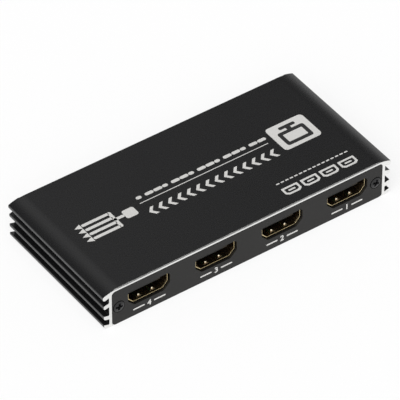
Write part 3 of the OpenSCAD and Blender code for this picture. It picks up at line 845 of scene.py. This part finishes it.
@dataclass
class PanelScrews:
    """The pair of raised countersunk screws of one panel, each with a cross recess."""

    name: str
    node: str
    end: End
    turns_deg: tuple[float, float]
    x: float = SCREW_X
    z: float = SCREW_Z
    head_r: float = 1.92
    crown_h: float = 0.35
    shank_r: float = 1.1
    shank_l: float = 8.0
    wing_w: float = 0.36
    wing_l: float = 1.22
    recess: float = 1.2
    taper: float = 0.55
    wall: float = 0.08
    point: float = 0.25
    sharp_deg: float = 35.0

    def head_lines(self) -> np.ndarray:
        """Lines across the head, from -1 to 1, with the recess's edges on lines."""
        w, reach, wall = np.array([self.wing_w, self.wing_l, self.wall]) / self.head_r
        half = np.concatenate(
            [
                np.linspace(0.0, w, 4),
                np.linspace(w + wall, reach, 7),
                np.linspace(reach + wall, 1.0, 8),
            ]
        )
        return np.concatenate([-half[:0:-1], half])

    def head(self) -> tuple[np.ndarray, np.ndarray]:
        """The head's face as a square grid pressed into a disc.

        A line pair (u, v) goes to x = u sqrt(1 - v v / 2), y = v sqrt(1 - u u / 2), times the
        head's radius. The crown is a sphere's cap; the cross is deepest in the middle.

        Returns:
            The points with Y inwards, (n * n, 3), and the point numbers round the edge.
        """
        line = self.head_lines()
        u, v = np.meshgrid(line, line)
        x = self.head_r * u * np.sqrt(1.0 - v * v / 2)
        z = self.head_r * v * np.sqrt(1.0 - u * u / 2)
        r2 = x * x + z * z
        ball = (self.head_r**2 + self.crown_h**2) / (2 * self.crown_h)
        crown = np.sqrt(np.maximum(ball**2 - r2, 0.0)) - (ball - self.crown_h)
        w, reach = np.array([self.wing_w, self.wing_l]) / self.head_r + ROUNDING
        short, far = np.minimum(np.abs(u), np.abs(v)), np.maximum(np.abs(u), np.abs(v))
        cross = (short <= w) & (far <= reach)
        floor = self.recess * (1.0 - self.taper * far / reach)
        y = -crown + np.where(cross, floor + self.crown_h, 0.0)
        n = len(line)
        number = np.arange(n * n).reshape(n, n)
        sides = [number[0, :-1], number[:-1, -1], number[-1, :0:-1], number[:0:-1, 0]]
        return np.stack([x, y, z], axis=-1).reshape(-1, 3), np.concatenate(sides)

    def add_screw(self, surface: Surface, x: float, turn_deg: float) -> None:
        """Adds one screw: the head's face, then its edge carried down the cone and the shank.

        Args:
            surface: the piece that the screw goes into.
            x: its place across the panel.
            turn_deg: how far it is turned, anticlockwise as seen from outside.
        """
        face, edge = self.head()
        n = len(self.head_lines())
        cone = self.head_r - self.shank_r
        radius = np.array([self.shank_r, self.shank_r, self.shank_r - self.point]) / self.head_r
        depth = cone + np.array([0.0, self.shank_l - self.point, self.shank_l])
        rings = face[edge][None] * np.stack([radius, 0 * radius, radius], axis=-1)[:, None]
        rings[..., 1] = depth[:, None]
        turn = math.radians(turn_deg)
        spin = np.array(
            [
                [math.cos(turn), 0.0, -math.sin(turn)],
                [0.0, 1.0, 0.0],
                [math.sin(turn), 0.0, math.cos(turn)],
            ]
        )
        points = np.concatenate([face, rings.reshape(-1, 3)]) @ spin.T
        points = at_end(points + np.array([x, 0.0, self.z]), self.end)
        count = len(edge)
        loops = np.concatenate([edge[None], len(face) + np.arange(3 * count).reshape(3, count)])
        wrapped = np.concatenate([loops, loops[:, :1]], axis=1)
        skirt = np.stack(
            [wrapped[:-1, 1:], wrapped[:-1, :-1], wrapped[1:, :-1], wrapped[1:, 1:]], axis=-1
        )
        start = surface.count
        surface.add(points, grid_quads(n, n, False))
        surface.faces += (skirt.reshape(-1, 4) + start).tolist()
        surface.faces.append((loops[-1][::-1] + start).tolist())
        surface.marks += [0] * (3 * count + 1)

    def build(self) -> bpy.types.Object:
        """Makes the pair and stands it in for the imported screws."""
        surface = Surface(self.name)
        for side, turn_deg in zip((-1.0, 1.0), self.turns_deg):
            self.add_screw(surface, side * self.x, turn_deg)
        piece = surface.build([BLACK_OXIDE], CASE_BODY, "black_screw", self.sharp_deg)
        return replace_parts(piece, self.node)


@dataclass
class Print:
    """Flat ink marks on one face, each a closed film a few hundredths of a millimetre thick."""

    name: str
    finish: Finish
    film: float = 0.02
    surface: Surface = field(init=False)

    def __post_init__(self) -> None:
        """Starts with no marks."""
        self.surface = Surface(self.name)

    def add_shape(self, points: np.ndarray, out: np.ndarray) -> None:
        """Adds a filled mark.

        Args:
            points: its outline on the face, anticlockwise as seen from outside, (n, 3).
            out: the face's outward normal.
        """
        self.surface.add_tube(np.stack([points, points + out * self.film]))

    def add_ring(self, outer: np.ndarray, inner: np.ndarray, out: np.ndarray) -> None:
        """Adds a mark with a hole, between two outlines of the same number of points."""
        self.surface.add_ring(outer, inner, out * self.film)

    def add_mesh(self, points: np.ndarray, faces: list[list[int]], out: np.ndarray) -> None:
        """Adds a mark that is already cut into faces, and closes it round its edges.

        An edge that only one face has lies on the rim, and gets a wall as high as the film.

        Args:
            points: the mark's points on the face, (n, 3).
            faces: its faces, anticlockwise as seen from outside.
            out: the face's outward normal.
        """
        edges = {pair for face in faces for pair in zip(face, face[1:] + face[:1])}
        a, b = np.array(sorted(pair for pair in edges if pair[::-1] not in edges)).T
        count = len(points)
        start = self.surface.count
        walls = np.stack([a, b, b + count, a + count], axis=-1)
        self.surface.add(np.concatenate([points, points + out * self.film]), walls)
        for face in faces:
            over = [start + count + number for number in face]
            under = [start + number for number in face[::-1]]
            self.surface.faces += [over, under]
        self.surface.marks += [0] * (2 * len(faces))

    def build(self) -> bpy.types.Object:
        """Makes the marks one piece."""
        return self.surface.build([self.finish], CASE_BODY, None)


@dataclass
class TopMarks:
    """Plain pictograms inked on the top: a fan, chevrons, dashes, socket outlines, a badge."""

    top: float = CASE_HEIGHT
    fan_x: tuple[float, float] = (-45.6, -24.8)
    fan_y: tuple[float, ...] = (-3.45, -1.15, 1.15, 3.45)
    row_x: tuple[float, float] = (-22.0, 27.3)
    arrow_y: tuple[float, float] = (-5.2, -1.5)
    dash_y: float = 4.15
    rule_y: float = 1.65
    badge_at: tuple[float, float] = (37.15, 1.35)
    badge: tuple[float, float] = (14.5, 12.0)
    badge_r: float = 1.4
    badge_film: float = 0.03
    line_w: float = 1.15
    end_share: float = 0.49
    ports_x: tuple[float, float] = (17.6, 45.8)
    ports_y: tuple[float, float] = (-22.4, -15.4)
    hub: tuple[float, float, float] = (4.4, 4.0, 0.8)
    hub_gap: float = 0.5
    stem: float = 5.6
    tip: tuple[float, float] = (2.4, 1.1)
    clear: float = 0.8
    chevron: tuple[float, float] = (1.5, 1.25)
    chevron_count: int = 14
    rule_w: float = 0.3
    dash_l: tuple[float, ...] = (0.7, 1.9, 1.9)
    dash_w: float = 1.3
    dash_inset: tuple[float, float] = (0.8, 1.6)
    dash_count: int = 15
    port: tuple[float, float] = (6.2, 3.6)
    port_lift: float = 0.3
    port_line: float = 0.75
    port_r: tuple[float, float] = (0.3, 0.12)
    tongue: tuple[float, float, float] = (2.6, 0.62, 0.2)
    tick: tuple[float, float] = (0.8, 0.5)
    tick_inset: tuple[float, float] = (0.4, 1.2)
    tick_count: int = 16
    # The badge's screen: width, height and corner of its frame and glass, and where they sit.
    frame: tuple[float, float, float] = (10.2, 6.6, 0.9)
    glass: tuple[float, float, float] = (7.4, 3.8, 0.3)
    screen_y: float = -1.2
    # The screen's neck and foot: width, height, corner and place.
    stand: tuple[tuple[float, float, float, float], ...] = (
        (1.8, 1.0, 0.15, 2.6),
        (6.2, 1.3, 0.4, 3.75),
    )

    def fill(self, ink: Print, flat: np.ndarray) -> None:
        """Inks a filled outline on the top."""
        ink.add_shape(laid(flat, self.top), UP)

    def bar(self, ink: Print, a: tuple[float, float], b: tuple[float, float], w: float) -> None:
        """Inks a straight line of width w with round ends from a to b."""
        start, stop = np.array(a), np.array(b)
        along = stop - start
        length = np.linalg.norm(along)
        e = along / length
        n = np.array([-e[1], e[0]])
        box = rounded_box(length + w, w, self.end_share * w, 6)
        self.fill(ink, (start + stop) / 2 + box[:, :1] * e + box[:, 1:] * n)

    def fan(self, ink: Print) -> None:
        """One block that feeds four lines with arrow tips: one signal in, four out."""
        left, right = self.fan_x
        hub = right - self.hub[0] / 2
        self.fill(ink, rounded_box(*self.hub) + [hub, 0.0])
        split = hub - self.stem
        start = hub - self.hub[0] / 2 - self.hub_gap
        reach, half = self.tip
        self.bar(ink, (start, 0.0), (split, 0.0), self.line_w)
        self.bar(ink, (split, self.fan_y[0]), (split, self.fan_y[-1]), self.line_w)
        for y in self.fan_y:
            stop = left + reach + self.clear
            self.bar(ink, (split - self.clear, y), (stop, y), self.line_w)
            tip = np.array([[0.0, 0.0], [reach, -half], [reach, half]])
            self.fill(ink, tip + [left, y])

    def arrows(self, ink: Print) -> None:
        """A row of chevrons that point the way the signal goes."""
        low, high = self.arrow_y
        left, right = self.row_x
        mid = (low + high) / 2
        reach, weight = self.chevron
        shape = np.array(
            [
                [0.0, mid],
                [reach, low],
                [reach + weight, low],
                [weight, mid],
                [reach + weight, high],
                [reach, high],
            ]
        )
        for x in np.linspace(left, right - reach - weight, self.chevron_count):
            self.fill(ink, shape + [x, 0.0])

    def dashes(self, ink: Print) -> None:
        """A rule, and beyond it a row of short and long dashes."""
        left, right = self.row_x
        self.bar(ink, (left, self.rule_y), (right, self.rule_y), self.rule_w)
        first, last = left + self.dash_inset[0], right - self.dash_inset[1]
        for number, x in enumerate(np.linspace(first, last, self.dash_count)):
            length = self.dash_l[number % len(self.dash_l)]
            self.bar(ink, (x, self.dash_y), (x + length, self.dash_y), self.dash_w)

    def ports(self, ink: Print) -> None:
        """A row of four socket outlines over a thin rule, as a plain map of the outputs."""
        left, right = self.ports_x
        low, high = self.ports_y
        wide, tall = self.port
        mid = low + tall / 2 + self.port_lift
        hole = np.array(self.port) - 2 * self.port_line
        # The outline of a socket in a unit square.
        corners = np.array(
            [[-0.5, -0.28], [-0.32, -0.5], [0.32, -0.5], [0.5, -0.28], [0.5, 0.5], [-0.5, 0.5]]
        )
        for x in np.linspace(left + wide / 2, right - wide / 2, 4):
            place = np.array([x, mid])
            outer, inner = (
                laid(rounded_outline(corners * size, np.full(6, r), 4) + place, self.top)
                for size, r in zip((self.port, hole), self.port_r)
            )
            ink.add_ring(outer, inner, UP)
            self.fill(ink, rounded_box(*self.tongue, 4) + place)
        length, weight = self.tick
        y = high - weight
        first, last = left + self.tick_inset[0], right - self.tick_inset[1]
        for x in np.linspace(first, last, self.tick_count):
            self.bar(ink, (x, y), (x + length, y), weight)

    def build(self) -> list[bpy.types.Object]:
        """Makes the ink on the top, the pale badge and the screen pictogram on the badge."""
        ink = Print("top_marks", WHITE_INK)
        self.fan(ink)
        self.arrows(ink)
        self.dashes(ink)
        self.ports(ink)
        badge = Print("badge_plate", WHITE_INK, self.badge_film)
        at = np.array(self.badge_at)
        plate = rounded_box(*self.badge, self.badge_r) + at
        badge.add_shape(laid(plate, self.top), UP)
        mark = Print("badge_screen", BLACK_INK)
        level = self.top + badge.film
        frame, glass = (
            laid(rounded_box(*size) + at + [0.0, self.screen_y], level)
            for size in (self.frame, self.glass)
        )
        mark.add_ring(frame, glass, UP)
        for *size, y in self.stand:
            mark.add_shape(laid(rounded_box(*size) + at + [0.0, y], level), UP)
        return [ink.build(), badge.build(), mark.build()]


@dataclass
class SocketNumbers:
    """Plain numerals under the output sockets, each between two short lines."""

    z: float = 2.65
    face: float = -CASE_DEPTH / 2
    tall: float = 2.2
    bold: float = 0.025
    line: tuple[float, float] = (1.75, 6.1)
    line_w: float = 0.55
    end_share: float = 0.45

    def numeral(self, text: str) -> tuple[np.ndarray, list[list[int]]]:
        """The flat outline mesh of one numeral.

        Args:
            text: the numeral.

        Returns:
            Its points centred on the origin, (n, 2) in millimetres, and its faces.
        """
        curve = bpy.data.curves.new("numeral", "FONT")
        curve.body = text
        curve.size = 1.0
        curve.offset = self.bold
        curve.resolution_u = 5
        holder = bpy.data.objects.new("numeral", curve)
        mesh = bpy.data.meshes.new_from_object(holder)
        flat = np.zeros(len(mesh.vertices) * 3)
        mesh.vertices.foreach_get("co", flat)
        flat = flat.reshape(-1, 3)[:, :2]
        faces = [list(polygon.vertices) for polygon in mesh.polygons]
        bpy.data.objects.remove(holder)
        bpy.data.curves.remove(curve)
        bpy.data.meshes.remove(mesh)
        low, high = flat.min(axis=0), flat.max(axis=0)
        return (flat - (low + high) / 2) * (self.tall / (high - low)[1]), faces

    def build(self) -> bpy.types.Object:
        """Makes the numerals and their lines one piece of ink on the front panel."""
        ink = Print("socket_numbers", WHITE_INK)
        near, far = self.line
        for number, x in enumerate(OUTPUT_X, 1):
            flat, faces = self.numeral(str(number))
            ink.add_mesh(stood(flat + [x, self.z], self.face), faces, FORWARD)
            for side in (-1.0, 1.0):
                bar = rounded_box(far - near, self.line_w, self.end_share * self.line_w)
                bar += [x + side * (near + far) / 2, self.z]
                ink.add_shape(stood(bar, self.face), FORWARD)
        return ink.build()


def smooth_edges_group() -> bpy.types.NodeTree:
    """Geometry nodes that shade a solid smooth but keep its sharp edges."""
    tree = bpy.data.node_groups.new("smooth_by_angle", "GeometryNodeTree")
    for way in ("INPUT", "OUTPUT"):
        tree.interface.new_socket("Geometry", in_out=way, socket_type="NodeSocketGeometry")
    start = add_node(tree, "NodeGroupInput")
    smooth = add_node(
        tree,
        "GeometryNodeSetShadeSmooth",
        {"Geometry": start.outputs[0], "Shade Smooth": True},
        domain="FACE",
    )
    angle = add_node(tree, "GeometryNodeInputMeshEdgeAngle")
    sharp = add_node(
        tree,
        "FunctionNodeCompare",
        {0: angle.outputs[0], 1: math.radians(SMOOTH_UNDER_DEG)},
        operation="GREATER_THAN",
    )
    edges = add_node(
        tree,
        "GeometryNodeSetShadeSmooth",
        {"Geometry": smooth.outputs[0], "Selection": sharp.outputs[0], "Shade Smooth": False},
        domain="EDGE",
    )
    add_node(tree, "NodeGroupOutput", {0: edges.outputs[0]})
    return tree


@dataclass
class PackedSolids:
    """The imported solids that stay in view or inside: each gets its finish and softened edges."""

    nodes: dict[str, bpy.types.Object]
    slots: dict[str, str]
    # The width of a broken edge, and how the names of the solids that have it start.
    edges_mm: tuple[tuple[float, tuple[str, ...]], ...] = (
        (0.08, ("dip_slider", "output_tongue", "input_tongue", "main_board")),
        (0.1, ("front_panel", "rear_panel", "dip_switch_body", "splitter_chip")),
        (0.1, ("heat_sink", "regulators")),
        (0.12, ("dc_jack_body",)),
        (0.15, ("bottom_plate",)),
        (0.25, ("power_coils", "bulk_capacitors")),
    )
    weld_mm: float = 0.001
    flat_deg: float = 0.5
    sharp_deg: float = 40.0

    def soften(self, solid: bpy.types.Object, edge_mm: float, group: bpy.types.NodeTree) -> None:
        """Joins a solid's loose triangles, merges its flat faces and breaks its sharp edges.

        Args:
            solid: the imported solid's object.
            edge_mm: the width of the broken edge, or 0 for none.
            group: the geometry nodes that shade it.
        """
        weld = solid.modifiers.new("weld", "WELD")
        weld.merge_threshold = self.weld_mm * MM
        if edge_mm:
            flat = solid.modifiers.new("flat_faces", "DECIMATE")
            flat.decimate_type = "DISSOLVE"
            flat.angle_limit = math.radians(self.flat_deg)
            edge = solid.modifiers.new("broken_edge", "BEVEL")
            edge.width = edge_mm * MM
            edge.segments = 2
            edge.limit_method = "ANGLE"
            edge.angle_limit = math.radians(self.sharp_deg)
        shade = solid.modifiers.new("smooth_by_angle", "NODES")
        shade.node_group = group
        flatten = solid.modifiers.new("flat_shading", "WEIGHTED_NORMAL")
        flatten.mode = "FACE_AREA"
        flatten.keep_sharp = True

    def dress(self) -> None:
        """Gives every solid that is still shown its finish."""
        group = smooth_edges_group()
        for name, solid in self.nodes.items():
            if solid.hide_render:
                continue
            finish = SLOT_FINISHES[self.slots[name]]
            solid.data.materials.clear()
            solid.data.materials.append(finish.material())
            widths = [width for width, names in self.edges_mm if name.startswith(names)]
            self.soften(solid, max(widths, default=0.0), group)
            LOG.info("%s: %s", name, finish.name)


@dataclass(frozen=True)
class Glow:
    """A soft bright patch of the room, such as a lit screen, seen in the sheen of the case."""

    towards: tuple[float, float, float]
    level: float
    radius_deg: float


@dataclass(frozen=True)
class Lamp:
    """A broad, far lamp."""

    name: str
    towards: tuple[float, float, float]
    strength: float
    spread_deg: float


@dataclass
class Studio:
    """A white floor, soft light from the front and above, and the camera."""

    azimuth: float = -35.386
    elevation: float = 41.84
    distance: float = 1347.58
    aim: tuple[float, float, float] = (-5.430, -7.281, 14.173)
    lens: float = 387.544
    sensor: float = 36.0
    clip_m: float = 100.0
    floor_half: float = 30000.0
    floor_lines: int = 9
    floor_drop: float = 0.02
    floor_glow: float = 0.75
    room_level: float = 0.13
    wall_level: float = 0.9
    wall_fades: tuple[float, float] = (0.2, 0.45)
    glows: tuple[Glow, ...] = (
        Glow((0.2, 0.607, 0.769), 0.65, 17.0),
    )
    lamps: tuple[Lamp, ...] = (
        Lamp("key_lamp", (-0.62, -0.45, 0.64), 1.4, 60.0),
        Lamp("top_lamp", (-0.3, -0.35, 0.89), 1.6, 68.0),
    )

    def build_floor(self) -> None:
        """A wide white floor, just under the case.

        Part of its white is its own, for the camera and for what mirrors it, so that the case's
        shadow stays faint.
        """
        span = np.linspace(-self.floor_half, self.floor_half, self.floor_lines)
        x, y = np.meshgrid(span, span)
        points = np.stack([x, y, np.full(x.shape, -self.floor_drop)], axis=-1).reshape(-1, 3)
        mesh = bpy.data.meshes.new("floor")
        mesh.from_pydata((points * MM).tolist(), [], grid_quads(*x.shape, False).tolist())
        paper = bpy.data.materials.new("white_paper")
        paper.use_nodes = True
        tree = paper.node_tree
        tree.nodes.clear()
        lit = add_node(tree, "ShaderNodeBsdfDiffuse", {"Color": linear("#fefefe")})
        own = add_node(tree, "ShaderNodeEmission", {"Color": linear("#ffffff"), "Strength": 1.0})
        path = add_node(tree, "ShaderNodeLightPath")
        seen: bpy.types.NodeSocket = path.outputs["Is Camera Ray"]
        for ray in ("Is Glossy Ray", "Is Transmission Ray"):
            either = add_node(
                tree, "ShaderNodeMath", {0: seen, 1: path.outputs[ray]}, operation="MAXIMUM"
            )
            seen = either.outputs[0]
        share = add_node(
            tree, "ShaderNodeMath", {0: seen, 1: self.floor_glow}, operation="MULTIPLY"
        )
        mixed = add_node(
            tree, "ShaderNodeMixShader", {0: share.outputs[0], 1: lit.outputs[0], 2: own.outputs[0]}
        )
        add_node(tree, "ShaderNodeOutputMaterial", {"Surface": mixed.outputs[0]})
        mesh.materials.append(paper)
        floor = bpy.data.objects.new("floor", mesh)
        bpy.context.scene.collection.objects.link(floor)

    def build_world(self) -> None:
        """A dim even room with pale walls low down and a soft glow.

        The walls fade by a smooth step of the height of a direction, and a glow is a smooth step of
        the cosine between a direction and the middle of the glow.
        """
        world = bpy.data.worlds.new("room")
        bpy.context.scene.world = world
        world.use_nodes = True
        tree = world.node_tree
        tree.nodes.clear()
        place = add_node(tree, "ShaderNodeTexCoord")
        split = add_node(tree, "ShaderNodeSeparateXYZ", {0: place.outputs["Generated"]})
        low, high = self.wall_fades
        wall = add_node(
            tree,
            "ShaderNodeMapRange",
            {
                "Value": split.outputs["Z"],
                "From Min": low,
                "From Max": high,
                "To Min": self.room_level + self.wall_level,
                "To Max": self.room_level,
            },
            interpolation_type="SMOOTHSTEP",
        )
        level = wall.outputs["Result"]
        for glow in self.glows:
            near = add_node(
                tree,
                "ShaderNodeVectorMath",
                {0: place.outputs["Generated"], 1: Vector(glow.towards).normalized()},
                operation="DOT_PRODUCT",
            )
            soft = add_node(
                tree,
                "ShaderNodeMapRange",
                {
                    "Value": near.outputs["Value"],
                    "From Min": math.cos(math.radians(glow.radius_deg)),
                    "From Max": 1.0,
                    "To Max": glow.level,
                },
                interpolation_type="SMOOTHSTEP",
            )
            added = add_node(
                tree, "ShaderNodeMath", {0: level, 1: soft.outputs["Result"]}, operation="ADD"
            )
            level = added.outputs[0]
        light = add_node(
            tree, "ShaderNodeBackground", {"Color": linear("#ffffff"), "Strength": level}
        )
        add_node(tree, "ShaderNodeOutputWorld", {"Surface": light.outputs[0]})

    def add_lamp(self, lamp: Lamp) -> None:
        """Hangs one lamp, turned to shine from its direction."""
        data = bpy.data.lights.new(lamp.name, "SUN")
        data.energy = lamp.strength
        data.angle = math.radians(lamp.spread_deg)
        holder = bpy.data.objects.new(lamp.name, data)
        holder.rotation_mode = "QUATERNION"
        holder.rotation_quaternion = Vector(lamp.towards).to_track_quat("Z", "Y")
        bpy.context.scene.collection.objects.link(holder)

    def build_camera(self) -> None:
        """The camera, which looks back along its azimuth and elevation at the aim point."""
        a, e = math.radians(self.azimuth), math.radians(self.elevation)
        back = Vector((math.sin(a) * math.cos(e), -math.cos(a) * math.cos(e), math.sin(e)))
        right = Vector((math.cos(a), math.sin(a), 0.0))
        up = back.cross(right)
        place = (Vector(self.aim) + back * self.distance) * MM
        data = bpy.data.cameras.new("camera")
        data.lens = self.lens
        data.sensor_width = self.sensor
        data.clip_end = self.clip_m
        camera = bpy.data.objects.new("camera", data)
        turned = Matrix((right, up, back)).transposed().to_4x4()
        camera.matrix_world = Matrix.Translation(place) @ turned
        bpy.context.scene.collection.objects.link(camera)
        bpy.context.scene.camera = camera

    def build(self) -> None:
        """Sets the whole stage."""
        bpy.context.scene.view_settings.view_transform = "Standard"
        self.build_camera()
        self.build_floor()
        self.build_world()
        for lamp in self.lamps:
            self.add_lamp(lamp)


def main() -> None:
    """Builds the sub-assemblies in order and reports each piece."""
    logging.basicConfig(level=logging.INFO, format="%(message)s")
    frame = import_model()
    Studio().build()
    FinnedCover().build()
    for number, x in enumerate(OUTPUT_X, 1):
        VideoSocket(f"socket_shell_{number}", f"output_shell_{number}", x, End.FRONT).build()
    VideoSocket("socket_shell_in", "input_shell", INPUT_X, End.REAR).build()
    PanelScrews("front_panel_screws", "front_screws", End.FRONT, (-8.0, -21.0)).build()
    PanelScrews("rear_panel_screws", "rear_screws", End.REAR, (-33.0, 12.0)).build()
    TopMarks().build()
    SocketNumbers().build()
    slots = {part["node"]: part["material_slot"] for part in frame["record"]["subparts"]}
    PackedSolids(frame["nodes"], slots).dress()


if __name__ == "__main__":
    main()
